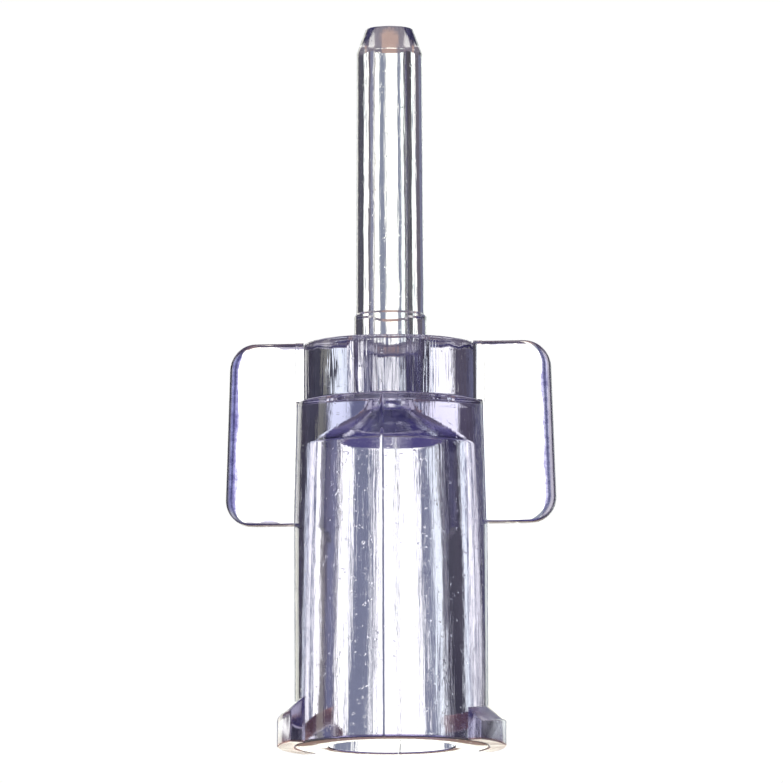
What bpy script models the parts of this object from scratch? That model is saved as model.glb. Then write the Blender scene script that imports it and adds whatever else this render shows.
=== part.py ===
"""A winged female luer-lock hub with a blunt clear cannula, of the kind fitted to suction and irrigation lines.

Frame: +Z runs up the fluid path from the socket's mouth to the cannula's tip, the wings spread along X, and the
origin is the centre of the mouth face. Lengths below are in millimetres and are turned into metres by MM.
"""

import math

import bmesh
import bpy
from mathutils import Matrix, Vector

MM = 0.001
BOND_GAP = 0.02  # adhesive film between bonded pieces

# Socket: the standard 6 % female taper, 4.3 mm across at its mouth.
MOUTH_R = 2.15
TAPER_PER_MM = 0.03
MOUTH_CHAMFER = 0.12
SOCKET_DEPTH = 10.35
ROOF_CORNER = 0.16  # rounding where the socket's wall meets its conical roof
ROOF_SLOPE = 37.0  # degrees above level
THROAT_R = 0.50
THROAT_FILLET = 0.75

# Barrel: straight below the wings, drawn in above them.
BARREL_R = 3.31
BARREL_TOP_R = 3.20
SHOULDER_Z = 11.78
EDGE = 0.06  # small broken edges
FOOT_EDGE = 0.12

# Collar, the disc that stands on the barrel's shoulder.
COLLAR_R = 2.98
COLLAR_TOP_Z = 13.80

# Bond ring in the shallow well round the throat.
WELL_R = 1.43
WELL_DEPTH = 0.15

# Cannula: a tapered tube with a boss at its foot and a slimmer spigot below that.
TIP_Z = 24.72
TUBE_FOOT_R = 1.17
TUBE_TIP_R = 1.12
BOSS_R = 1.235
BOSS_TOP_Z = 14.80
LUMEN_FOOT_R = 0.60
LUMEN_TIP_R = 0.55
SPIGOT_R = 0.90
BEVEL_HEIGHT = 0.85
BEVEL_TOP_R = 0.80
TIP_ROUND = 0.08

# Finger wings.
WING_TOP_Z = 13.86
WING_FOOT_Z = 7.64
WING_TOP_X = 5.50
WING_FOOT_X = 5.655
WING_TOP_CORNER = 0.90
WING_FOOT_CORNER = 0.86
WING_THICKNESS = 0.80
WING_EDGE = 0.30
WING_LEVEL_EDGE = 0.25  # share of that rounding on the level top and foot
PAD_X = 3.19
PAD_WIDTH = 1.50

# Lock lugs: two stubs, 7.83 mm across, whose upper flanks climb like a right-handed thread.
LUG_R = 3.915
LUG_ARC = math.radians(68)
LUG_LEAD = 2.5
LUG_CREST_Z = 0.92
LUG_ROOT_Z = 1.38
LUG_EDGE = 0.12

TURN_STEPS = 72
TUBE_STEPS = 48
ARC_STEPS = 6
SHARP = math.radians(32)

HUB_TINT = (0.80, 0.79, 0.92, 1.0)
TUBE_TINT = (0.88, 0.88, 0.93, 1.0)
BOND_TINT = (0.78, 0.77, 0.86, 1.0)


def clear_scene():
    for obj in list(bpy.data.objects):
        bpy.data.objects.remove(obj, do_unlink=True)


def new_collection(name, hidden=False):
    collection = bpy.data.collections.new(name)
    bpy.context.scene.collection.children.link(collection)
    collection.hide_render = hidden
    return collection


def clear_plastic(name, colour, roughness):
    """A transparent moulded polymer with a faint tint."""
    material = bpy.data.materials.new(name)
    material.use_nodes = True
    shader = material.node_tree.nodes["Principled BSDF"]
    shader.inputs["Base Color"].default_value = colour
    shader.inputs["Roughness"].default_value = roughness
    shader.inputs["Metallic"].default_value = 0.0
    shader.inputs["IOR"].default_value = 1.53
    shader.inputs["Transmission Weight"].default_value = 0.9
    return material


def place(name, mesh, collection, material=None):
    obj = bpy.data.objects.new(name, mesh)
    collection.objects.link(obj)
    if material is not None:
        mesh.materials.clear()
        mesh.materials.append(material)
    return obj


def applied(obj):
    """The object with its modifiers made real, welded, and shaded smooth between its sharp edges."""
    bpy.context.view_layer.update()
    evaluated = obj.evaluated_get(bpy.context.evaluated_depsgraph_get())
    mesh = bpy.data.meshes.new_from_object(evaluated)
    welded = bmesh.new()
    welded.from_mesh(mesh)
    bmesh.ops.remove_doubles(welded, verts=welded.verts, dist=1e-7)
    bmesh.ops.recalc_face_normals(welded, faces=welded.faces)
    welded.to_mesh(mesh)
    welded.free()
    mesh.shade_smooth()
    mesh.set_sharp_from_angle(angle=SHARP)
    result = bpy.data.objects.new(obj.name, mesh)
    result.matrix_world = obj.matrix_world.copy()
    for collection in obj.users_collection:
        collection.objects.link(result)
    name = obj.name
    bpy.data.objects.remove(obj, do_unlink=True)
    result.name = name
    return result


def arc(centre, radius, start_deg, end_deg, steps=ARC_STEPS):
    """Points of a circular arc in a plane, both ends included."""
    points = []
    for i in range(steps + 1):
        angle = math.radians(start_deg + (end_deg - start_deg) * i / steps)
        points.append((centre[0] + radius * math.cos(angle), centre[1] + radius * math.sin(angle)))
    return points


def turned(name, profile, steps, collection, material=None, closed=True):
    """A solid turned round Z from (radius, height) points that run down its outer side."""
    mesh = bpy.data.meshes.new(name)
    count = len(profile)
    edges = [(i, i + 1) for i in range(count - 1)]
    if closed:
        edges.append((count - 1, 0))
    mesh.from_pydata([(r * MM, 0.0, z * MM) for r, z in profile], edges, [])
    obj = place(name, mesh, collection, material)
    screw = obj.modifiers.new("Turn", "SCREW")
    screw.axis = "Z"
    screw.angle = math.tau
    screw.steps = steps
    screw.render_steps = steps
    screw.use_merge_vertices = True
    screw.merge_threshold = 1e-7
    return applied(obj)


def socket_radius(z):
    """Radius of the tapered socket at height z."""
    return MOUTH_R - TAPER_PER_MM * z


def throat_z():
    """Height at which the throat's fillet meets its straight bore, with the fillet tangent to the roof."""
    slope = math.radians(ROOF_SLOPE)
    corner_r = socket_radius(SOCKET_DEPTH) - ROOF_CORNER * (1 - math.sin(slope))
    corner_z = SOCKET_DEPTH - ROOF_CORNER * (1 - math.cos(slope))
    fillet_r = THROAT_R + THROAT_FILLET * (1 - math.sin(slope))
    return corner_z + (corner_r - fillet_r) * math.tan(slope) + THROAT_FILLET * math.cos(slope)


def barrel(collection, material):
    """The thick-walled barrel, with the socket, its conical roof, the flared throat and the bond well."""
    draw_z = WING_FOOT_Z
    outside = [
        (BARREL_TOP_R - EDGE, SHOULDER_Z),
        (BARREL_TOP_R, SHOULDER_Z - EDGE),
        (BARREL_R, draw_z),
        (BARREL_R, FOOT_EDGE),
        (BARREL_R - FOOT_EDGE * 0.3, FOOT_EDGE * 0.3),
        (BARREL_R - FOOT_EDGE, 0.0),
    ]
    corner_r = socket_radius(SOCKET_DEPTH)
    inside = [
        (MOUTH_R + MOUTH_CHAMFER, 0.0),
        (socket_radius(MOUTH_CHAMFER), MOUTH_CHAMFER),
        (corner_r, SOCKET_DEPTH - ROOF_CORNER),
        *arc((corner_r - ROOF_CORNER, SOCKET_DEPTH - ROOF_CORNER), ROOF_CORNER, 15, 90 - ROOF_SLOPE, 3),
        *arc((THROAT_R + THROAT_FILLET, throat_z()), THROAT_FILLET, 270 - ROOF_SLOPE, 180, 5),
    ]
    well_floor = SHOULDER_Z - WELL_DEPTH
    top = [(THROAT_R, well_floor), (WELL_R, well_floor), (WELL_R, SHOULDER_Z)]
    return turned("hub_barrel", outside + inside + top, TURN_STEPS, collection, material)


def collar(collection, material):
    """The disc on the barrel's shoulder, bored for the cannula's spigot."""
    foot_z = SHOULDER_Z + BOND_GAP
    bore_r = SPIGOT_R + BOND_GAP
    profile = [
        (bore_r, COLLAR_TOP_Z),
        *arc((COLLAR_R - EDGE, COLLAR_TOP_Z - EDGE), EDGE, 90, 0, 3),
        (COLLAR_R, foot_z + EDGE),
        (COLLAR_R - EDGE, foot_z),
        (bore_r, foot_z),
    ]
    return turned("hub_collar", profile, TURN_STEPS, collection, material)


def bond_ring(collection, material):
    """The cured adhesive in the well, under the spigot's end."""
    floor_z = SHOULDER_Z - WELL_DEPTH + BOND_GAP
    profile = [
        (WELL_R - BOND_GAP, SHOULDER_Z - BOND_GAP / 2),
        (WELL_R - BOND_GAP, floor_z),
        (LUMEN_FOOT_R, floor_z),
        (LUMEN_FOOT_R, SHOULDER_Z - BOND_GAP / 2),
    ]
    return turned("bond_ring", profile, TUBE_STEPS, collection, material)


def cannula(collection, material):
    """The blunt tube: bevelled tip, tapered stem, boss seated on the collar and spigot inside it."""
    bevel_z = TIP_Z - BEVEL_HEIGHT
    seat_z = COLLAR_TOP_Z + BOND_GAP
    foot_z = SHOULDER_Z + BOND_GAP
    outside = [
        *arc((BEVEL_TOP_R - TIP_ROUND, TIP_Z - TIP_ROUND), TIP_ROUND, 90, 20, 3),
        (TUBE_TIP_R - 0.03, bevel_z + 0.08),
        (TUBE_TIP_R, bevel_z - 0.10),
        (TUBE_FOOT_R, BOSS_TOP_Z + EDGE),
        (BOSS_R, BOSS_TOP_Z - EDGE),
        (BOSS_R, seat_z + EDGE / 2),
        (BOSS_R - EDGE / 2, seat_z),
        (SPIGOT_R, seat_z),
        (SPIGOT_R, foot_z + EDGE),
        (SPIGOT_R - EDGE, foot_z),
    ]
    inside = [
        (LUMEN_FOOT_R, foot_z),
        (LUMEN_TIP_R, TIP_Z - EDGE),
        (LUMEN_TIP_R + EDGE, TIP_Z),
    ]
    return turned("cannula_tube", outside + inside, TUBE_STEPS, collection, material)


def hub_envelope(collection):
    """Cutter: the collar and barrel, grown by the bond film."""
    profile = [
        (0.0, COLLAR_TOP_Z + 1.0),
        (COLLAR_R + BOND_GAP, COLLAR_TOP_Z + 1.0),
        (COLLAR_R + BOND_GAP, SHOULDER_Z + BOND_GAP),
        (BARREL_TOP_R + BOND_GAP, SHOULDER_Z + BOND_GAP),
        (BARREL_TOP_R + BOND_GAP, SHOULDER_Z - EDGE),
        (BARREL_R + BOND_GAP, WING_FOOT_Z),
        (BARREL_R + BOND_GAP, WING_FOOT_Z - 1.0),
        (0.0, WING_FOOT_Z - 1.0),
    ]
    cutter = turned("hub_envelope", profile, TURN_STEPS, collection, closed=False)
    cutter.hide_render = True
    cutter.display_type = "WIRE"
    return cutter


def wing_outline():
    """The wing's outline in X and Z, from inside the hub out to the rounded free corners."""
    inner_x = COLLAR_R - 1.0
    above = WING_TOP_CORNER
    below = WING_FOOT_CORNER
    slope = math.degrees(math.atan((WING_FOOT_X - WING_TOP_X) / (WING_TOP_Z - WING_FOOT_Z)))
    top = arc((WING_TOP_X - above, WING_TOP_Z - above), above, 90, slope)
    foot = arc((WING_FOOT_X - below, WING_FOOT_Z + below), below, slope, -90)
    return [(inner_x, WING_TOP_Z), *top, *foot, (inner_x, WING_FOOT_Z)]


def flat_plate(name, outline, thickness, collection):
    """A plate in the XZ plane from a closed outline."""
    curve = bpy.data.curves.new(name, "CURVE")
    curve.dimensions = "2D"
    curve.fill_mode = "BOTH"
    curve.extrude = thickness * MM / 2
    spline = curve.splines.new("POLY")
    spline.points.add(len(outline) - 1)
    for point, (x, z) in zip(spline.points, outline):
        point.co = (x * MM, z * MM, 0.0, 1.0)
    spline.use_cyclic_u = True
    obj = bpy.data.objects.new(name, curve)
    collection.objects.link(obj)
    plate = applied(obj)
    plate.data.transform(Matrix.Rotation(math.radians(90), 4, "X"))
    return plate


def root_pad(collection):
    """The thicker pad that fills the step between the collar and the barrel's side."""
    mesh = bpy.data.meshes.new("root_pad")
    shape = bmesh.new()
    bmesh.ops.create_cube(shape, size=1.0)
    shape.to_mesh(mesh)
    shape.free()
    inner_x = COLLAR_R - 0.6
    size = Vector((PAD_X - inner_x, PAD_WIDTH, WING_TOP_Z - SHOULDER_Z))
    centre = Vector(((PAD_X + inner_x) / 2, 0.0, (WING_TOP_Z + SHOULDER_Z) / 2))
    mesh.transform(Matrix.Translation(centre * MM) @ Matrix.Diagonal((*(size * MM), 1.0)))
    pad = place("root_pad", mesh, collection)
    pad.hide_render = True
    return pad


def rounded_rim(plate):
    """The plate with its rim rounded: fully on its outer side, slightly along its top and foot."""
    shape = bmesh.new()
    shape.from_mesh(plate.data)
    bmesh.ops.dissolve_limit(shape, angle_limit=math.radians(1), verts=shape.verts, edges=shape.edges)
    weights = shape.edges.layers.float.new("bevel_weight_edge")
    corner_x = WING_TOP_X - WING_TOP_CORNER
    for edge in shape.edges:
        first, second = (vertex.co / MM for vertex in edge.verts)
        middle_x = (first.x + second.x) / 2
        runs_through = abs(first.y - second.y) > WING_THICKNESS / 2
        if runs_through or middle_x < COLLAR_R - 0.5:
            continue
        share = min(1.0, max(0.0, (middle_x - corner_x) / WING_TOP_CORNER))
        edge[weights] = WING_LEVEL_EDGE + (1 - WING_LEVEL_EDGE) * share
    shape.to_mesh(plate.data)
    shape.free()
    modifier = plate.modifiers.new("Round", "BEVEL")
    modifier.width = WING_EDGE * MM
    modifier.segments = 4
    modifier.limit_method = "WEIGHT"
    return applied(plate)


def boolean(obj, other, operation):
    modifier = obj.modifiers.new(operation.title(), "BOOLEAN")
    modifier.object = other
    modifier.operation = operation
    modifier.solver = "EXACT"
    return applied(obj)


def wing(name, side, envelope, pad, collection, material):
    """One finger wing: a rounded plate with its root pad, trimmed to sit on the hub. side is +1 or -1 along X."""
    plate = flat_plate(name, wing_outline(), WING_THICKNESS, collection)
    plate = rounded_rim(plate)
    plate = boolean(plate, pad, "UNION")
    plate = boolean(plate, envelope, "DIFFERENCE")
    if side < 0:
        plate.data.transform(Matrix.Rotation(math.pi, 4, "Z"))
    plate.data.materials.clear()
    plate.data.materials.append(material)
    return plate


def lug(name, side, collection, material):
    """One lock lug: a stub with a sloping, climbing upper flank, cut level with the mouth face."""
    below_z = -0.6
    inner_r = BARREL_R + BOND_GAP
    profile = [
        (inner_r, below_z),
        (LUG_R, below_z),
        *arc((LUG_R - LUG_EDGE, LUG_CREST_Z - LUG_EDGE), LUG_EDGE, 0, 62, 3),
        (inner_r, LUG_ROOT_Z),
    ]
    steps = 12
    climb = LUG_LEAD * LUG_ARC / math.tau
    shape = bmesh.new()
    start = Matrix.Rotation(-LUG_ARC / 2, 4, "Z") @ Matrix.Translation((0.0, 0.0, -climb / 2 * MM))
    section = [shape.verts.new(start @ Vector((r * MM, 0.0, z * MM))) for r, z in profile]
    face = shape.faces.new(section)
    bmesh.ops.spin(
        shape,
        geom=[face, *face.edges, *face.verts],
        cent=(0.0, 0.0, 0.0),
        axis=(0.0, 0.0, 1.0),
        angle=LUG_ARC,
        steps=steps,
        dvec=(0.0, 0.0, climb * MM / steps),
    )
    everything = [*shape.verts, *shape.edges, *shape.faces]
    cut = bmesh.ops.bisect_plane(
        shape, geom=everything, plane_co=(0.0, 0.0, 0.0), plane_no=(0.0, 0.0, -1.0), clear_outer=True
    )
    rim = [item for item in cut["geom_cut"] if isinstance(item, bmesh.types.BMEdge)]
    bmesh.ops.holes_fill(shape, edges=rim)
    bmesh.ops.recalc_face_normals(shape, faces=shape.faces)
    mesh = bpy.data.meshes.new(name)
    shape.to_mesh(mesh)
    shape.free()
    if side < 0:
        mesh.transform(Matrix.Rotation(math.pi, 4, "Z"))
    mesh.shade_smooth()
    mesh.set_sharp_from_angle(angle=SHARP)
    return place(name, mesh, collection, material)


def main():
    clear_scene()
    parts = new_collection("luer_cannula")
    cutters = new_collection("cutters", hidden=True)
    hub_plastic = clear_plastic("clear_hub", HUB_TINT, 0.06)
    tube_plastic = clear_plastic("clear_tube", TUBE_TINT, 0.05)
    adhesive = clear_plastic("cured_adhesive", BOND_TINT, 0.25)
    barrel(parts, hub_plastic)
    collar(parts, hub_plastic)
    bond_ring(parts, adhesive)
    cannula(parts, tube_plastic)
    envelope = hub_envelope(cutters)
    pad = root_pad(cutters)
    for label, side in (("right", 1), ("left", -1)):
        wing(f"wing_{label}", side, envelope, pad, parts, hub_plastic)
        lug(f"lock_lug_{label}", side, parts, hub_plastic)


main()
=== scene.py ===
"""Looks of the winged luer cannula: clear violet-tinted plastic in a white studio with dark flags.

Lengths are in millimetres, in the CAD frame (+Z from the socket's mouth to the tip), and become metres by MM.
"""

import math

import bmesh
import bpy
from mathutils import Matrix, Vector


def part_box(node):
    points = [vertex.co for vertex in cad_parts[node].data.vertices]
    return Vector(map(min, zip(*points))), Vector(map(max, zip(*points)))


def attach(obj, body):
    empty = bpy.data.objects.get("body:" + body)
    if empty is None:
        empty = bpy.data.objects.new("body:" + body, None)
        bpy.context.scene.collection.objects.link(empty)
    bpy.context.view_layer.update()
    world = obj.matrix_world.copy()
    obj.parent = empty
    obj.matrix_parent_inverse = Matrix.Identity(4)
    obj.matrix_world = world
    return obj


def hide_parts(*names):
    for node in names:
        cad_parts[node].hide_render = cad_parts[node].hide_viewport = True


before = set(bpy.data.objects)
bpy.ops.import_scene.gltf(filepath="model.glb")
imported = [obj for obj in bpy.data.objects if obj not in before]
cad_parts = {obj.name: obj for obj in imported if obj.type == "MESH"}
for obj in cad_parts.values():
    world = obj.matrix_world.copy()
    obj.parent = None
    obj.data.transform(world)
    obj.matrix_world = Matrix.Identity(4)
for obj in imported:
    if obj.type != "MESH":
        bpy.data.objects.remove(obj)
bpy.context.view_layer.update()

MM = 0.001
BODY = "root"


# ---------------------------------------------------------------- sizes taken from the frame
def size_of(node):
    """(lowest corner, highest corner) of a CAD node, in millimetres."""
    low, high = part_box(node)
    return low / MM, high / MM


BARREL_HIGH = size_of("hub_barrel")[1]
COLLAR_LOW, COLLAR_HIGH = size_of("hub_collar")
TUBE_LOW, TUBE_HIGH = size_of("cannula_tube")
RING_LOW, RING_HIGH = size_of("bond_ring")
WING_LOW, WING_HIGH = size_of("wing_right")

BARREL_R = BARREL_HIGH.y
SHOULDER_Z = BARREL_HIGH.z
COLLAR_R = COLLAR_HIGH.x
COLLAR_FOOT_Z = COLLAR_LOW.z
COLLAR_TOP_Z = COLLAR_HIGH.z
WING_TOP_Z = WING_HIGH.z
WING_FOOT_Z = WING_LOW.z
BOSS_R = TUBE_HIGH.x
TUBE_FOOT_Z = TUBE_LOW.z
TIP_Z = TUBE_HIGH.z

# ---------------------------------------------------------------- the design's own sizes
MOUTH_R = 2.15
TAPER_PER_MM = 0.03
MOUTH_CHAMFER = 0.04  # this and the next are finer than the CAD's
FOOT_EDGE = 0.08
SOCKET_DEPTH = 10.35
ROOF_CORNER = 0.16
ROOF_SLOPE = math.radians(37)
THROAT_R = 0.50
THROAT_FILLET = 0.75
WELL_R = 1.43
WELL_DEPTH = 0.15
BARREL_TOP_R = 3.20
SPIGOT_R = 0.90
BOND_GAP = 0.02
BOSS_TOP_Z = 14.80
TUBE_FOOT_R = 1.17
TUBE_TIP_R = 1.12
BEVEL_HEIGHT = 0.85
BEVEL_TOP_R = 0.80
LUMEN_FOOT_R = 0.60
LUMEN_TIP_R = 0.55
BOSS_CONE_FOOT = 0.03  # the boss's sloped rim starts this far below BOSS_TOP_Z
BOSS_CONE_TOP = 0.05  # and ends this far above it

# Radii of the edges.
FINE_EDGE = 0.02
SMALL_EDGE = 0.03
BOSS_EDGE = 0.04
WELL_CORNER = 0.04
LUMEN_EDGE = 0.05
EDGE = 0.06
COLLAR_TOP_EDGE = 0.09
TIP_EDGE = 0.09
BEVEL_SHOULDER = 0.25

WING_FOOT_X = 5.655
WING_TOP_X = 5.50
WING_TOP_CORNER = 0.90
WING_FOOT_CORNER = 0.86
WING_THICKNESS = 0.80
WING_EDGE = 0.30
WING_LEVEL_EDGE = 0.25  # share of that rounding on the wing's top and foot
PAD_X = 3.19
PAD_WIDTH = 1.50
PAD_DROP = 0.05  # from the wing's top to the pad's
ROOT_OVERLAP = 1.0  # how far the plate reaches into the hub before it is cut
PAD_OVERLAP = 0.6

LUG_R = 3.915
LUG_ARC = math.radians(68)
LUG_LEAD = 2.5
LUG_CREST_Z = 0.92
LUG_ROOT_Z = 1.38
LUG_EDGE = 0.12
LUG_FLANK_TURN = 62  # degrees that the edge turns from the rim to the upper flank
LUG_FINE_EDGE = 0.05
LUG_CUT_DEPTH = 0.6  # how far the section reaches below the mouth before it is cut

# The mould's witness lines.
SEAM_HEIGHT = 0.012
SEAM_WIDTH = 0.07
SEAM_STEPS = 4  # turning steps in half a line
SEAM_CLEARANCE = 1.6  # the even steps stay this many half-lines away
SEAM_END = 0.05  # gap between a line's end and the barrel's end

SHARP_ANGLE = math.radians(38)  # steeper edges are shaded as sharp
TURN_STEPS = 192
TUBE_STEPS = 128
RING_STEPS = 96
LUG_STEPS = 28
LUG_EDGE_STEPS = 4
ARC_STEPS = 5
WING_ARC_STEPS = 12


# ---------------------------------------------------------------- mesh helpers
def arc(centre, radius, start_deg, end_deg, steps=ARC_STEPS):
    """Points of a circular arc in a plane, both ends included."""
    points = []
    for i in range(steps + 1):
        angle = math.radians(start_deg + (end_deg - start_deg) * i / steps)
        points.append((centre[0] + radius * math.cos(angle), centre[1] + radius * math.sin(angle)))
    return points


def rounded(corners):
    """A closed outline from (x, y, radius) corners, each corner with a radius turned into an arc."""
    outline = []
    count = len(corners)
    for i, (x, y, radius) in enumerate(corners):
        here = Vector((x, y))
        if radius <= 0:
            outline.append((x, y))
            continue
        back = (Vector(corners[i - 1][:2]) - here).normalized()
        ahead = (Vector(corners[(i + 1) % count][:2]) - here).normalized()
        half = back.angle(ahead) / 2
        reach = radius / math.tan(half)
        centre = here + (back + ahead).normalized() * radius / math.sin(half)
        first = here + back * reach - centre
        last = here + ahead * reach - centre
        turn = first.angle_signed(last)
        for step in range(ARC_STEPS + 1):
            spoke = first.copy()
            spoke.rotate(Matrix.Rotation(-turn * step / ARC_STEPS, 2))
            outline.append(tuple(centre + spoke))
    return outline


def even_angles(steps):
    return [math.tau * i / steps for i in range(steps)]


def seam_angles(steps):
    """Angles for a turned part, closer together at the mould's parting plane, which is x = 0."""
    angles = even_angles(steps)
    near = SEAM_WIDTH / BARREL_R
    for middle in (math.pi / 2, math.pi * 3 / 2):
        angles = [a for a in angles if abs(a - middle) > SEAM_CLEARANCE * near]
        angles += [middle + near * k / SEAM_STEPS for k in range(-SEAM_STEPS - 1, SEAM_STEPS + 2)]
    return sorted(angles)


def seam_lift(angle):
    """Height of the witness line above the surface at an angle."""
    near = SEAM_WIDTH / BARREL_R
    off = min(abs(angle - math.pi / 2), abs(angle - math.pi * 3 / 2))
    return SEAM_HEIGHT * max(0.0, 1 - (off / near) ** 2)


def turned(name, profile, angles, lift=None):
    """A closed solid turned round Z from a closed (radius, height) outline.

    lift(r, z, angle) is how far a point moves outwards.
    """
    points = []
    for angle in angles:
        for r, z in profile:
            reach = r + (lift(r, z, angle) if lift else 0.0)
            points.append((reach * math.cos(angle) * MM, reach * math.sin(angle) * MM, z * MM))
    around = len(angles)
    down = len(profile)
    faces = []
    for i in range(around):
        nxt = (i + 1) % around
        for j in range(down):
            below = (j + 1) % down
            faces.append((i * down + j, nxt * down + j, nxt * down + below, i * down + below))
    mesh = bpy.data.meshes.new(name)
    mesh.from_pydata(points, [], faces)
    return finished(name, mesh)


def finished(name, mesh):
    """The mesh with outward normals, smooth shading between sharp edges, in an object of its own."""
    shape = bmesh.new()
    shape.from_mesh(mesh)
    bmesh.ops.remove_doubles(shape, verts=shape.verts, dist=1e-8)
    bmesh.ops.recalc_face_normals(shape, faces=shape.faces)
    shape.to_mesh(mesh)
    shape.free()
    mesh.shade_smooth()
    mesh.set_sharp_from_angle(angle=SHARP_ANGLE)
    obj = bpy.data.objects.new(name, mesh)
    bpy.context.scene.collection.objects.link(obj)
    return obj


def applied(obj):
    """The object with its modifiers made real."""
    bpy.context.view_layer.update()
    evaluated = obj.evaluated_get(bpy.context.evaluated_depsgraph_get())
    mesh = bpy.data.meshes.new_from_object(evaluated)
    name = obj.name
    bpy.data.objects.remove(obj, do_unlink=True)
    return finished(name, mesh)


def boolean(obj, other, operation):
    modifier = obj.modifiers.new(operation.title(), "BOOLEAN")
    modifier.object = other
    modifier.operation = operation
    modifier.solver = "EXACT"
    return applied(obj)


def evenly_shaded(obj):
    """Keeps the shading of flat faces flat where a rounded edge meets them."""
    even = obj.modifiers.new("Even shading", "WEIGHTED_NORMAL")
    even.keep_sharp = True
    return obj


# ---------------------------------------------------------------- pieces
def socket_radius(z):
    return MOUTH_R - TAPER_PER_MM * z


def make_barrel():
    corner_r = socket_radius(SOCKET_DEPTH)
    throat_z = SOCKET_DEPTH + (corner_r - THROAT_R) * math.tan(ROOF_SLOPE)
    well_floor = SHOULDER_Z - WELL_DEPTH
    profile = rounded([
        (BARREL_TOP_R, SHOULDER_Z, EDGE),
        (BARREL_R, WING_FOOT_Z, 0),
        (BARREL_R, 0.0, FOOT_EDGE),
        (MOUTH_R + MOUTH_CHAMFER, 0.0, FINE_EDGE),
        (socket_radius(MOUTH_CHAMFER), MOUTH_CHAMFER, FINE_EDGE),
        (corner_r, SOCKET_DEPTH, ROOF_CORNER),
        (THROAT_R, throat_z, THROAT_FILLET),
        (THROAT_R, well_floor, SMALL_EDGE),
        (WELL_R, well_floor, WELL_CORNER),
        (WELL_R, SHOULDER_Z, SMALL_EDGE),
    ])

    def lift(r, z, angle):
        outside = r > (MOUTH_R + BARREL_TOP_R) / 2 and SEAM_END < z < SHOULDER_Z - SEAM_END
        return seam_lift(angle) if outside else 0.0

    return turned("barrel_clear", profile, seam_angles(TURN_STEPS), lift)


def make_collar():
    bore_r = SPIGOT_R + BOND_GAP
    profile = rounded([
        (bore_r, COLLAR_TOP_Z, SMALL_EDGE),
        (COLLAR_R, COLLAR_TOP_Z, COLLAR_TOP_EDGE),
        (COLLAR_R, COLLAR_FOOT_Z, EDGE),
        (bore_r, COLLAR_FOOT_Z, SMALL_EDGE),
    ])
    return turned("collar_clear", profile, even_angles(TURN_STEPS))


def make_bond_ring():
    profile = rounded([
        (RING_HIGH.x, RING_HIGH.z, FINE_EDGE),
        (RING_HIGH.x, RING_LOW.z, FINE_EDGE),
        (LUMEN_FOOT_R, RING_LOW.z, FINE_EDGE),
        (LUMEN_FOOT_R, RING_HIGH.z, FINE_EDGE),
    ])
    return turned("bond_ring_clear", profile, even_angles(RING_STEPS))


def make_tube():
    bevel_z = TIP_Z - BEVEL_HEIGHT
    seat_z = COLLAR_TOP_Z + BOND_GAP
    profile = rounded([
        (LUMEN_TIP_R, TIP_Z, LUMEN_EDGE),
        (BEVEL_TOP_R, TIP_Z, TIP_EDGE),
        (TUBE_TIP_R, bevel_z, BEVEL_SHOULDER),
        (TUBE_FOOT_R, BOSS_TOP_Z + BOSS_CONE_TOP, BOSS_EDGE),
        (BOSS_R, BOSS_TOP_Z - BOSS_CONE_FOOT, BOSS_EDGE),
        (BOSS_R, seat_z, BOSS_EDGE),
        (SPIGOT_R, seat_z, FINE_EDGE),
        (SPIGOT_R, TUBE_FOOT_Z, LUMEN_EDGE),
        (LUMEN_FOOT_R, TUBE_FOOT_Z, FINE_EDGE),
    ])
    return turned("tube_clear", profile, even_angles(TUBE_STEPS))


def hub_envelope():
    """Cutter: the collar and barrel, grown by the bond film."""
    core_r = 0.5
    past_end = 1.0
    profile = [
        (core_r, COLLAR_TOP_Z + past_end),
        (COLLAR_R + BOND_GAP, COLLAR_TOP_Z + past_end),
        (COLLAR_R + BOND_GAP, SHOULDER_Z + BOND_GAP),
        (BARREL_TOP_R + BOND_GAP, SHOULDER_Z + BOND_GAP),
        (BARREL_TOP_R + BOND_GAP, SHOULDER_Z - EDGE),
        (BARREL_R + BOND_GAP, WING_FOOT_Z),
        (BARREL_R + BOND_GAP, WING_FOOT_Z - past_end),
        (core_r, WING_FOOT_Z - past_end),
    ]
    return turned("hub_envelope", profile, even_angles(TURN_STEPS))


def wing_outline():
    above = WING_TOP_CORNER
    below = WING_FOOT_CORNER
    root_x = COLLAR_R - ROOT_OVERLAP
    slope = math.degrees(math.atan((WING_FOOT_X - WING_TOP_X) / (WING_TOP_Z - WING_FOOT_Z)))
    return [
        (root_x, WING_TOP_Z),
        *arc((WING_TOP_X - above, WING_TOP_Z - above), above, 90, slope, WING_ARC_STEPS),
        *arc((WING_FOOT_X - below, WING_FOOT_Z + below), below, slope, -90, WING_ARC_STEPS),
        (root_x, WING_FOOT_Z),
    ]


def rim_weight(middle):
    """Share of the rounding that an edge of the plate gets, from the edge's middle point in millimetres."""
    turned_in = (middle.x - (WING_TOP_X - WING_TOP_CORNER)) / WING_TOP_CORNER
    return WING_LEVEL_EDGE + (1 - WING_LEVEL_EDGE) * min(1.0, max(0.0, turned_in))


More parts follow.
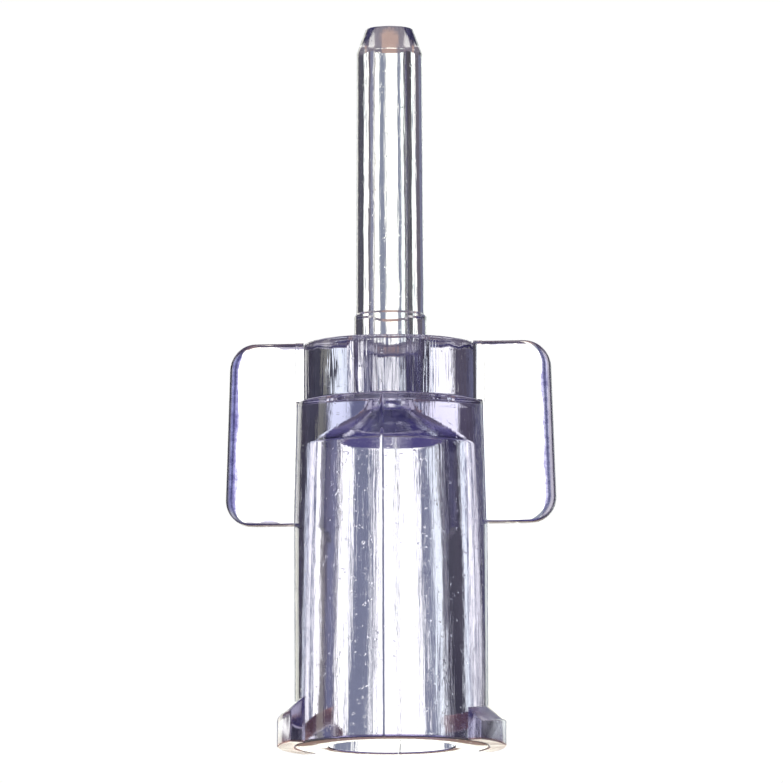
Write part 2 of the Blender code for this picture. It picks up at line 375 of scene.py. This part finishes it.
def wing_plate(name):
    """The flat wing with its rim rounded, strongly at the side and lightly at the top and foot."""
    mesh = bpy.data.meshes.new(name)
    shape = bmesh.new()
    half = WING_THICKNESS / 2
    front = [shape.verts.new((x * MM, -half * MM, z * MM)) for x, z in wing_outline()]
    face = shape.faces.new(front)
    out = bmesh.ops.extrude_face_region(shape, geom=[face])
    moved = [v for v in out["geom"] if isinstance(v, bmesh.types.BMVert)]
    bmesh.ops.translate(shape, verts=moved, vec=(0, WING_THICKNESS * MM, 0))
    shape.to_mesh(mesh)
    shape.free()
    plate = finished(name, mesh)
    weights = plate.data.attributes.new("bevel_weight_edge", "FLOAT", "EDGE")
    for edge in plate.data.edges:
        first, second = (plate.data.vertices[i].co / MM for i in edge.vertices)
        middle = (first + second) / 2
        crosses = abs(first.y - second.y) > half / 2
        at_root = middle.x < COLLAR_R - ROOT_OVERLAP / 2
        if not crosses and not at_root:
            weights.data[edge.index].value = rim_weight(middle)
    bevel = plate.modifiers.new("Round", "BEVEL")
    bevel.width = WING_EDGE * MM
    bevel.segments = 6
    bevel.limit_method = "WEIGHT"
    return applied(plate)


def root_pad():
    mesh = bpy.data.meshes.new("pad")
    shape = bmesh.new()
    bmesh.ops.create_cube(shape, size=1.0)
    shape.to_mesh(mesh)
    shape.free()
    inner_x = COLLAR_R - PAD_OVERLAP
    top_z = WING_TOP_Z - PAD_DROP
    size = Vector((PAD_X - inner_x, PAD_WIDTH, top_z - SHOULDER_Z))
    centre = Vector(((PAD_X + inner_x) / 2, 0.0, (top_z + SHOULDER_Z) / 2))
    mesh.transform(Matrix.Translation(centre * MM) @ Matrix.Diagonal((*(size * MM), 1.0)))
    return finished("pad", mesh)


def make_wing(name, side, envelope):
    pad = root_pad()
    plate = boolean(wing_plate(name), pad, "UNION")
    plate = boolean(plate, envelope, "DIFFERENCE")
    bpy.data.objects.remove(pad, do_unlink=True)
    if side < 0:
        plate.data.transform(Matrix.Rotation(math.pi, 4, "Z"))
    return evenly_shaded(plate)


def make_lug(name, side):
    """A stub of right-handed thread: its section is spun upwards, then cut level with the mouth."""
    inner_r = BARREL_R + BOND_GAP
    profile = [
        (inner_r, -LUG_CUT_DEPTH),
        (LUG_R, -LUG_CUT_DEPTH),
        *arc((LUG_R - LUG_EDGE, LUG_CREST_Z - LUG_EDGE), LUG_EDGE, 0, LUG_FLANK_TURN, LUG_EDGE_STEPS),
        (inner_r, LUG_ROOT_Z),
    ]
    climb = LUG_LEAD * LUG_ARC / math.tau
    shape = bmesh.new()
    start = Matrix.Rotation(-LUG_ARC / 2, 4, "Z") @ Matrix.Translation((0.0, 0.0, -climb / 2 * MM))
    section = [shape.verts.new(start @ Vector((r * MM, 0.0, z * MM))) for r, z in profile]
    face = shape.faces.new(section)
    bmesh.ops.spin(
        shape,
        geom=[face, *face.edges, *face.verts],
        cent=(0.0, 0.0, 0.0),
        axis=(0.0, 0.0, 1.0),
        angle=LUG_ARC,
        steps=LUG_STEPS,
        dvec=(0.0, 0.0, climb * MM / LUG_STEPS),
    )
    everything = [*shape.verts, *shape.edges, *shape.faces]
    cut = bmesh.ops.bisect_plane(
        shape, geom=everything, plane_co=(0.0, 0.0, 0.0), plane_no=(0.0, 0.0, -1.0), clear_outer=True
    )
    rim = [item for item in cut["geom_cut"] if isinstance(item, bmesh.types.BMEdge)]
    bmesh.ops.holes_fill(shape, edges=rim)
    bmesh.ops.recalc_face_normals(shape, faces=shape.faces)
    mesh = bpy.data.meshes.new(name)
    shape.to_mesh(mesh)
    shape.free()
    lug = finished(name, mesh)
    bevel = lug.modifiers.new("Round", "BEVEL")
    bevel.width = LUG_FINE_EDGE * MM
    bevel.segments = 3
    bevel.limit_method = "ANGLE"
    bevel.angle_limit = math.radians(50)
    lug = applied(lug)
    if side < 0:
        lug.data.transform(Matrix.Rotation(math.pi, 4, "Z"))
    return evenly_shaded(lug)


# ---------------------------------------------------------------- looks
# tint colours the surface, and depth_tint and density (per metre) the inside. wave, streak and grain are
# the depths in millimetres of the slow ripple, the vertical draw marks and the specks. Noise scales, here
# and below, are per metre.
CLEAR = (0.985, 0.985, 0.99)
HUB_DEPTH = (0.20, 0.16, 0.52)
LOOKS = {
    "clear_hub": dict(
        tint=CLEAR, depth_tint=HUB_DEPTH, density=165.0, ior=1.55, rough=0.03,
        wave=0.008, streak=0.014, grain=0.004, feature="moulded mouth and painted rim shade",
    ),
    "clear_collar": dict(
        tint=CLEAR, depth_tint=(0.24, 0.22, 0.50), density=145.0, ior=1.55, rough=0.03,
        wave=0.010, streak=0.090, grain=0.003, streak_scale=1300.0,
    ),
    "clear_wing": dict(
        tint=CLEAR, depth_tint=HUB_DEPTH, density=150.0, ior=1.55, rough=0.03,
        wave=0.004, streak=0.0, grain=0.0003, feature="frosted rim and painted shade",
    ),
    "clear_lug": dict(
        tint=CLEAR, depth_tint=HUB_DEPTH, density=240.0, ior=1.55, rough=0.16,
        wave=0.006, streak=0.0, grain=0.0010, feature="painted warm reflection",
    ),
    "clear_tube": dict(
        tint=(0.99, 0.99, 0.99), depth_tint=(0.45, 0.45, 0.62), density=120.0, ior=1.55, rough=0.03,
        wave=0.003, streak=0.010, grain=0.0025,
    ),
    "cured_adhesive": dict(
        tint=(0.9, 0.9, 0.95), depth_tint=(0.3, 0.3, 0.6), density=200.0, ior=1.50, rough=0.30,
        wave=0.002, streak=0.0, grain=0.0001,
    ),
}
DULL_SHARE = 0.95  # brightness of the duller clouds in the surface
# Painted reflection: orange on the lugs' foot, for the warm light their undersides reflect.
PAINTED_WARM_REFLECTION = (0.78, 0.30, 0.18)
# Painted shade: a dark violet line round the barrel's foot edge, front and back, between the lugs; this and
# the next three lines set it.
MOUTH_RIM_PAINTED_SHADE = (0.13, 0.10, 0.28)
MOUTH_RIM_RADII = (BARREL_R - 0.17, BARREL_R - 0.11)
MOUTH_RIM_HEIGHTS = (0.12, 0.06)
MOUTH_RIM_ENDS = (3.0, 2.4)
BACK_SEAM_WIDTH, BACK_SEAM_CREST = 0.032, 0.006
BACK_SEAM_HEIGHT = 0.03
SIDE_BAND = (0.20, 0.29)  # narrowest and widest band of frosting and painted shade at the wing's side, past what the level edges have
LEVEL_BAND = 0.05
BAND_SWELL = 0.10
BAND_RAGGEDNESS = 0.10
BAND_SOFTNESS = 0.015
BAND_ROUGHNESS = 0.25
# Painted shade: the band inside the wing's rim is coloured dark violet, and the rim's own line darker still,
# for the shade the rounded edge shows; its frosting is BAND_ROUGHNESS.
PAINTED_SHADE_DARK, PAINTED_SHADE_LIGHT = (0.09, 0.08, 0.25), (0.30, 0.29, 0.58)
PAINTED_RIM_SHADE_LINE = (0.10, 0.09, 0.15)
PAINTED_RIM_SHADE_FADE = (0.11, 0.15)


# ---------------------------------------------------------------- materials
def node(tree, kind, **values):
    made = tree.nodes.new(kind)
    for key, value in values.items():
        if hasattr(made, key):
            setattr(made, key, value)
        else:
            made.inputs[key.replace("_", " ")].default_value = value
    return made


def maths(tree, operation, first, second=None, third=None):
    """A Math node's result. Each input is a socket or a number."""
    made = node(tree, "ShaderNodeMath", operation=operation)
    for index, value in enumerate((first, second, third)):
        if value is None:
            continue
        if isinstance(value, (int, float)):
            made.inputs[index].default_value = value
        else:
            tree.links.new(value, made.inputs[index])
    return made.outputs["Value"]


def ramp(tree, value, low, high, bottom=0.0, top=1.0):
    """Value mapped smoothly from low..high to bottom..top."""
    made = node(tree, "ShaderNodeMapRange", interpolation_type="SMOOTHSTEP")
    made.inputs["From Min"].default_value = low
    made.inputs["From Max"].default_value = high
    made.inputs["To Min"].default_value = bottom
    made.inputs["To Max"].default_value = top
    tree.links.new(value, made.inputs["Value"])
    return made.outputs["Result"]


def blend(tree, factor, first, second):
    """A colour mix by a factor socket. Each colour is a socket or a tuple."""
    made = node(tree, "ShaderNodeMix", data_type="RGBA")
    tree.links.new(factor, made.inputs["Factor"])
    for index, value in ((6, first), (7, second)):
        if isinstance(value, tuple):
            made.inputs[index].default_value = (*value, 1.0)
        else:
            tree.links.new(value, made.inputs[index])
    return made.outputs[2]


def noise(tree, place, scale, detail=2.0, roughness=0.5, stretch=(1.0, 1.0, 1.0)):
    """A noise texture in object space. A small stretch along an axis draws the pattern out along it."""
    made = node(tree, "ShaderNodeTexNoise", Scale=scale, Detail=detail, Roughness=roughness)
    scaled = node(tree, "ShaderNodeVectorMath", operation="MULTIPLY")
    scaled.inputs[1].default_value = stretch
    tree.links.new(place, scaled.inputs[0])
    tree.links.new(scaled.outputs["Vector"], made.inputs["Vector"])
    return made.outputs["Fac"]


def bump(tree, height, distance, below=None):
    made = node(tree, "ShaderNodeBump", Strength=1.0, Distance=distance * MM)
    tree.links.new(height, made.inputs["Height"])
    if below is not None:
        tree.links.new(below, made.inputs["Normal"])
    return made.outputs["Normal"]


def rim_inset(tree, across, along):
    """(distance in from the wing's rim, distance out past its corners' centres), in millimetres."""
    lean = (WING_FOOT_X - WING_TOP_X) / (WING_TOP_Z - WING_FOOT_Z)
    above_foot = maths(tree, "SUBTRACT", along, WING_FOOT_Z)
    outward = maths(tree, "MULTIPLY_ADD", above_foot, lean, maths(tree, "ABSOLUTE", across))
    past_x = maths(tree, "SUBTRACT", outward, WING_FOOT_X - WING_FOOT_CORNER)
    past_x = maths(tree, "MAXIMUM", past_x, 0.0)
    past_top = maths(tree, "SUBTRACT", along, WING_TOP_Z - WING_TOP_CORNER)
    past_foot = maths(tree, "SUBTRACT", WING_FOOT_Z + WING_FOOT_CORNER, along)
    past_z = maths(tree, "ADD", maths(tree, "MAXIMUM", past_top, 0.0), maths(tree, "MAXIMUM", past_foot, 0.0))
    past_z = maths(tree, "MULTIPLY", past_z, WING_FOOT_CORNER / WING_TOP_CORNER)
    squares = maths(tree, "MULTIPLY_ADD", past_x, past_x, maths(tree, "MULTIPLY", past_z, past_z))
    return maths(tree, "SUBTRACT", WING_FOOT_CORNER, maths(tree, "SQRT", squares)), past_x


def frosted_rim_and_painted_shade(tree, place, across, along):
    """(mask, colour) of the ragged band inside the wing's rim, which is frosted, with painted shade in violet
    that is darkest at the rim.
    """
    inset, past_x = rim_inset(tree, across, along)
    slow = noise(tree, place, 750.0, 1.0, 0.5)
    ragged = noise(tree, place, 3200.0, 3.0, 0.7)
    at_side = ramp(tree, past_x, 0.30, 0.62)
    width = maths(tree, "MULTIPLY_ADD", at_side, ramp(tree, slow, 0.25, 0.50, *SIDE_BAND), LEVEL_BAND)
    width = maths(tree, "MULTIPLY_ADD", ramp(tree, slow, 0.50, 0.62), BAND_SWELL, width)
    width = maths(tree, "MULTIPLY_ADD", maths(tree, "SUBTRACT", ragged, 0.5), BAND_RAGGEDNESS, width)
    past_band = maths(tree, "SUBTRACT", inset, width)
    mottle = noise(tree, place, 5200.0, 3.0, 0.7)
    colour = blend(tree, ramp(tree, mottle, 0.35, 0.65), PAINTED_SHADE_DARK, PAINTED_SHADE_LIGHT)
    colour = blend(tree, ramp(tree, inset, *PAINTED_RIM_SHADE_FADE), PAINTED_RIM_SHADE_LINE, colour)
    return ramp(tree, past_band, BAND_SOFTNESS, -BAND_SOFTNESS), colour


def painted_mouth_rim_shade(tree, parts, across, along):
    """Mask of the painted shade line on the barrel's foot edge, front and back, between the lugs."""
    squares = maths(tree, "MULTIPLY", parts.outputs["Y"], parts.outputs["Y"])
    squares = maths(tree, "MULTIPLY_ADD", parts.outputs["X"], parts.outputs["X"], squares)
    radius = maths(tree, "MULTIPLY", maths(tree, "SQRT", squares), 1 / MM)
    outer = ramp(tree, radius, *MOUTH_RIM_RADII)
    rim = maths(tree, "MULTIPLY", outer, ramp(tree, along, *MOUTH_RIM_HEIGHTS))
    return maths(tree, "MULTIPLY", rim, ramp(tree, maths(tree, "ABSOLUTE", across), *MOUTH_RIM_ENDS))


def back_seam(tree, parts, across):
    """Mask of the witness line on the socket's back wall and across the mouth's rim."""
    line = ramp(tree, maths(tree, "ABSOLUTE", across), BACK_SEAM_WIDTH, BACK_SEAM_CREST)
    return maths(tree, "MULTIPLY", line, ramp(tree, parts.outputs["Y"], 0.0, 0.5 * MM))


def draw_marks(tree, place, scale):
    """Height of the vertical draw marks, which come and go and are left out on level faces."""
    drawn = noise(tree, place, scale, 4.0, 0.65, (1.0, 1.0, 0.035))
    fade = noise(tree, place, 500.0, 2.0, 0.5, (1.0, 1.0, 0.5))
    drawn = maths(tree, "MULTIPLY", drawn, ramp(tree, fade, 0.35, 0.65, 0.3, 1.0))
    surface = node(tree, "ShaderNodeNewGeometry")
    slant = node(tree, "ShaderNodeSeparateXYZ")
    tree.links.new(surface.outputs["Normal"], slant.inputs["Vector"])
    upright = ramp(tree, maths(tree, "ABSOLUTE", slant.outputs["Z"]), 0.98, 0.92)
    return maths(tree, "MULTIPLY", drawn, upright)


def clear_plastic(
    name, tint, depth_tint, density, ior, rough, wave, streak, grain, streak_scale=3600.0, feature=None
):
    """Transparent plastic with the look of LOOKS[name]."""
    material = bpy.data.materials.new(name)
    material.use_nodes = True
    tree = material.node_tree
    link = tree.links.new
    shader = tree.nodes["Principled BSDF"]
    output = tree.nodes["Material Output"]
    place = node(tree, "ShaderNodeTexCoord").outputs["Object"]
    parts = node(tree, "ShaderNodeSeparateXYZ")
    link(place, parts.inputs["Vector"])
    across = maths(tree, "MULTIPLY", parts.outputs["X"], 1 / MM)
    along = maths(tree, "MULTIPLY", parts.outputs["Z"], 1 / MM)

    cloud = noise(tree, place, 900.0, 4.0, 0.6)
    dull = tuple(c * DULL_SHARE for c in tint)
    colour = blend(tree, ramp(tree, cloud, 0.30, 0.62), dull, tint)
    polish = ramp(tree, cloud, 0.3, 0.8, rough * 0.5, rough * 1.6)
    if feature == "frosted rim and painted shade":
        band, painted_shade = frosted_rim_and_painted_shade(tree, place, across, along)
        # Frosted band with painted shade: rougher, and darkened to violet for shade.
        colour = blend(tree, band, colour, painted_shade)
        polish = maths(tree, "MULTIPLY_ADD", band, BAND_ROUGHNESS, polish)
    elif feature == "painted warm reflection":
        # Painted reflection: warm orange at the lug's foot.
        colour = blend(tree, ramp(tree, along, 0.10, 0.03), colour, PAINTED_WARM_REFLECTION)
    elif feature == "moulded mouth and painted rim shade":
        # Painted shade: a dark violet line on the mouth's rim.
        colour = blend(tree, painted_mouth_rim_shade(tree, parts, across, along), colour, MOUTH_RIM_PAINTED_SHADE)
    link(colour, shader.inputs["Base Color"])
    link(polish, shader.inputs["Roughness"])

    normal = bump(tree, noise(tree, place, 420.0), wave)
    normal = bump(tree, draw_marks(tree, place, streak_scale), streak, normal)
    specks = noise(tree, place, 4200.0, 2.0, 0.6)
    normal = bump(tree, ramp(tree, specks, 0.66, 0.74), grain, normal)
    if feature == "moulded mouth and painted rim shade":
        normal = bump(tree, back_seam(tree, parts, across), BACK_SEAM_HEIGHT, normal)
    link(normal, shader.inputs["Normal"])

    shader.inputs["IOR"].default_value = ior
    shader.inputs["Transmission Weight"].default_value = 1.0
    inside = node(tree, "ShaderNodeVolumeAbsorption")
    inside.inputs["Color"].default_value = (*depth_tint, 1.0)
    inside.inputs["Density"].default_value = density
    link(inside.outputs["Volume"], output.inputs["Volume"])
    return material


def dress(piece, material, slot, *nodes):
    """Gives a piece its material, hangs it on the body and hides the CAD nodes it stands for."""
    piece.data.materials.clear()
    piece.data.materials.append(material)
    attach(piece, BODY)
    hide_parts(*nodes)


# ---------------------------------------------------------------- studio
VIEW_AZIMUTH = math.radians(5.5)
VIEW_ELEVATION = math.radians(-7.4)
VIEW_ROLL = math.radians(-0.2)
VIEW_DISTANCE = 520.0
VIEW_CENTRE = Vector((0.03, 0.0, 12.2))
LENS = 700.0

WHITE = (2.20, 2.20, 1.95)
COOL_WHITE = (1.75, 1.88, 1.75)
HALF_DARK = (0.30, 0.33, 0.42)
DARK_LEFT = (0.16, 0.14, 0.17)
DARK_RIGHT = (0.07, 0.067, 0.08)
GREY_LEFT = (0.25, 0.26, 0.37)
GREY_RIGHT = (0.14, 0.13, 0.23)
SKY = (0.10, 0.085, 0.27)
PALE = (1.0, 0.97, 0.94)
BACKDROP = (1.02, 1.02, 1.02)  # what shows directly, and what lights the floor
WARM = (0.60, 0.41, 0.34)
DIM = (0.24, 0.21, 0.25)
# Flags round the studio: (from, to, colour), in degrees right of the line of sight.
FLAGS = [
    (-180, -92, GREY_LEFT),
    (-92, -78, WHITE),
    (-78, -55, GREY_LEFT),
    (-55, -36, DARK_LEFT),
    (-36, -17, WHITE),
    (-17, -5.4, HALF_DARK),
    (-5.4, 10.6, WHITE),
    (10.6, 19.5, HALF_DARK),
    (19.5, 32, COOL_WHITE),
    (32, 72, DARK_RIGHT),
    (72, 180, GREY_RIGHT),
]
FLAG_SOFTNESS = 0.8

FLOOR_SIZE = 0.6  # metres, half the side
FLOOR_DROP = 0.00003
FLOOR_COLOUR = (0.92, 0.90, 0.88)
HORIZON_TOP, HORIZON_FOOT = -6.4, -7.0  # degrees: where the flags end and the lower half begins
SKY_FOOT, SKY_TOP = 28.0, 38.0
WARM_HALF_WIDTH = 11.0
DIM_HALF_WIDTH = 34.0
DIM_BAND_FOOT = -14.0
WARM_FOOT = -26.0
PATCH_SOFTNESS = 3.0
EDGE_SOFTNESS = 2.0


def studio():
    """White and dark panels all round, seen through and in the plastic, and a plain white backdrop."""
    world = bpy.data.worlds.new("studio")
    bpy.context.scene.world = world
    world.use_nodes = True
    tree = world.node_tree
    tree.nodes.clear()
    link = tree.links.new
    output = node(tree, "ShaderNodeOutputWorld")
    place = node(tree, "ShaderNodeTexCoord")
    turn = node(tree, "ShaderNodeVectorRotate")
    turn.rotation_type = "Z_AXIS"
    turn.inputs["Angle"].default_value = -VIEW_AZIMUTH
    link(place.outputs["Generated"], turn.inputs["Vector"])
    parts = node(tree, "ShaderNodeSeparateXYZ")
    link(turn.outputs["Vector"], parts.inputs["Vector"])
    bearing = maths(tree, "ARCTAN2", parts.outputs["X"], parts.outputs["Y"])
    bearing = maths(tree, "MULTIPLY", bearing, 180 / math.pi)
    climb = maths(tree, "MULTIPLY", maths(tree, "ARCSINE", parts.outputs["Z"]), 180 / math.pi)

    ring = node(tree, "ShaderNodeValToRGB")
    stops = []
    for start, end, colour in FLAGS:
        stops.append(((start + FLAG_SOFTNESS / 2 + 180) / 360, colour))
        stops.append(((end - FLAG_SOFTNESS / 2 + 180) / 360, colour))
    edges = ring.color_ramp.elements
    edges[0].position = stops[0][0]
    edges[0].color = (*stops[0][1], 1.0)
    edges[1].position = stops[-1][0]
    edges[1].color = (*stops[-1][1], 1.0)
    for position, colour in stops[1:-1]:
        edges.new(position).color = (*colour, 1.0)
    link(maths(tree, "MULTIPLY_ADD", bearing, 1 / 360, 0.5), ring.inputs["Fac"])

    aside = maths(tree, "ABSOLUTE", bearing)
    warm = maths(
        tree,
        "MULTIPLY",
        ramp(tree, aside, WARM_HALF_WIDTH + PATCH_SOFTNESS, WARM_HALF_WIDTH - PATCH_SOFTNESS),
        ramp(tree, climb, WARM_FOOT - EDGE_SOFTNESS, WARM_FOOT + EDGE_SOFTNESS),
    )
    lower = blend(tree, warm, DIM, WARM)
    far = ramp(tree, aside, DIM_HALF_WIDTH - EDGE_SOFTNESS, DIM_HALF_WIDTH + EDGE_SOFTNESS)
    below = ramp(tree, climb, DIM_BAND_FOOT + EDGE_SOFTNESS, DIM_BAND_FOOT - EDGE_SOFTNESS)
    lower = blend(tree, maths(tree, "MULTIPLY", far, below), lower, PALE)
    colour = blend(tree, ramp(tree, climb, HORIZON_FOOT, HORIZON_TOP), lower, ring.outputs["Color"])
    colour = blend(tree, ramp(tree, climb, SKY_FOOT, SKY_TOP), colour, SKY)

    lights = node(tree, "ShaderNodeLightPath")
    plain = maths(tree, "MAXIMUM", lights.outputs["Is Camera Ray"], lights.outputs["Is Diffuse Ray"])
    colour = blend(tree, plain, colour, BACKDROP)
    background = node(tree, "ShaderNodeBackground")
    link(colour, background.inputs["Color"])
    link(background.outputs["Background"], output.inputs["Surface"])


def make_floor():
    """A pale floor, seen only from above."""
    mesh = bpy.data.meshes.new("floor")
    shape = bmesh.new()
    bmesh.ops.create_grid(shape, x_segments=1, y_segments=1, size=FLOOR_SIZE)
    shape.to_mesh(mesh)
    shape.free()
    floor = bpy.data.objects.new("floor", mesh)
    bpy.context.scene.collection.objects.link(floor)
    floor.location.z = -FLOOR_DROP
    material = bpy.data.materials.new("floor")
    material.use_nodes = True
    tree = material.node_tree
    link = tree.links.new
    tree.nodes.clear()
    output = node(tree, "ShaderNodeOutputMaterial")
    paint = node(tree, "ShaderNodeBsdfDiffuse")
    paint.inputs["Color"].default_value = (*FLOOR_COLOUR, 1.0)
    clear = node(tree, "ShaderNodeBsdfTransparent")
    side = node(tree, "ShaderNodeNewGeometry")
    mix = node(tree, "ShaderNodeMixShader")
    link(side.outputs["Backfacing"], mix.inputs["Fac"])
    link(paint.outputs["BSDF"], mix.inputs[1])
    link(clear.outputs["BSDF"], mix.inputs[2])
    link(mix.outputs["Shader"], output.inputs["Surface"])
    mesh.materials.append(material)
    floor.visible_glossy = False
    floor.visible_transmission = False


def make_camera():
    data = bpy.data.cameras.new("camera")
    data.lens = LENS
    data.sensor_width = 36.0
    data.clip_start = 0.01
    data.clip_end = 10.0
    camera = bpy.data.objects.new("camera", data)
    bpy.context.scene.collection.objects.link(camera)
    away = Vector((
        math.sin(VIEW_AZIMUTH) * math.cos(VIEW_ELEVATION),
        -math.cos(VIEW_AZIMUTH) * math.cos(VIEW_ELEVATION),
        math.sin(VIEW_ELEVATION),
    ))
    camera.location = (VIEW_CENTRE + away * VIEW_DISTANCE) * MM
    aim = (-away).to_track_quat("-Z", "Y").to_matrix()
    camera.rotation_euler = (aim @ Matrix.Rotation(VIEW_ROLL, 3, "Z")).to_euler()
    bpy.context.scene.camera = camera


def main():
    make_camera()
    studio()
    make_floor()
    scene = bpy.context.scene
    scene.view_settings.view_transform = "Standard"
    scene.cycles.max_bounces = 32
    scene.cycles.transmission_bounces = 32
    scene.cycles.glossy_bounces = 16
    scene.cycles.transparent_max_bounces = 32

    plastics = {name: clear_plastic(name, **look) for name, look in LOOKS.items()}
    dress(make_barrel(), plastics["clear_hub"], "clear_hub", "hub_barrel")
    dress(make_collar(), plastics["clear_collar"], "clear_hub", "hub_collar")
    dress(make_bond_ring(), plastics["cured_adhesive"], "cured_adhesive", "bond_ring")
    dress(make_tube(), plastics["clear_tube"], "clear_tube", "cannula_tube")
    envelope = hub_envelope()
    for label, side in (("right", 1), ("left", -1)):
        wing = make_wing(f"wing_{label}_clear", side, envelope)
        dress(wing, plastics["clear_wing"], "clear_hub", f"wing_{label}")
        lug = make_lug(f"lug_{label}_clear", side)
        dress(lug, plastics["clear_lug"], "clear_hub", f"lock_lug_{label}")
    bpy.data.objects.remove(envelope, do_unlink=True)


main()
